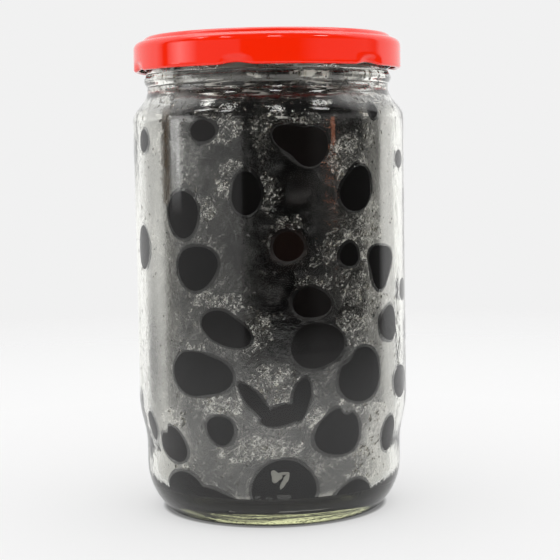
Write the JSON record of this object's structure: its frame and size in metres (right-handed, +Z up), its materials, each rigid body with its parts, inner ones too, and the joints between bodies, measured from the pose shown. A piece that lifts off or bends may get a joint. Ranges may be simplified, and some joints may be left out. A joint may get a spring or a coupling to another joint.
{
  "type": "jar of olives",
  "caption": "Tall round clear glass twist-off jar packed with black olives, with a little brine at the bottom and a plain red lacquered metal lid.",
  "frame": {"origin": "centre of the jar's round foot, on the surface that it stands on", "axes": "+Z up along the jar's axis, -Y towards the front"},
  "size_m": [0.0864, 0.0864, 0.1504],
  "materials": {
    "glass": "clear moulded glass, faintly green",
    "lid": "glossy red lacquer on tinplate",
    "olives": "moist, dark, slightly wrinkled skins",
    "brine": "dark, clear, wet"
  },
  "bodies": {
    "root": {"jar": "glass", "lid": "lid", "olives": "olives", "brine": "brine"}
  },
  "joints": []
}
